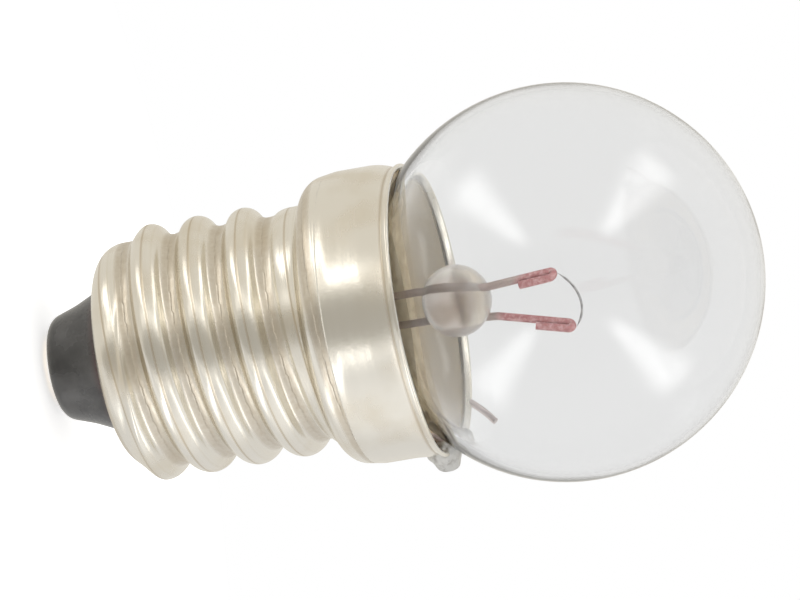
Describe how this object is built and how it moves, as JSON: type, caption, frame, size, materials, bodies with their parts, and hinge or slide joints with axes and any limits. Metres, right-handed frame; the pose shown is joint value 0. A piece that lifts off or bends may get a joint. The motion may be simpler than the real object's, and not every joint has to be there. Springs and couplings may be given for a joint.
{
  "type": "light bulb",
  "caption": "Miniature screw-cap filament lamp: clear round globe with bead-mounted leads, rolled nickel shell with a thread and collar, black insulator and soldered centre contact.",
  "frame": {"origin": "outer end of the centre contact, on the lamp's axis", "axes": "+Z along the lamp's axis from the centre contact to the top of the globe; +X to the side where the thread's first full turn begins, with the side solder 9 degrees from it towards +Y"},
  "size_m": [0.0148, 0.0148, 0.0273],
  "materials": {
    "clear_glass": "clear blown glass",
    "bead_glass": "clear glass bead",
    "lead_wire": "copper-clad wire, dull",
    "tungsten": "fine dull coil",
    "nickel": "nickel-plated sheet, satin",
    "black_glass": "black glass, glossy",
    "contact_brass": "plain brass",
    "solder": "dull solder",
    "cement": "matt brown cement"
  },
  "bodies": {
    "root": {"glass_bulb": "clear_glass", "glass_bead": "bead_glass", "lead_centre": "lead_wire", "lead_shell": "lead_wire", "filament": "tungsten", "screw_shell": "nickel", "insulator": "black_glass", "contact_plate": "contact_brass", "centre_solder": "solder", "side_solder": "solder", "basing_cement": "cement"}
  },
  "joints": []
}
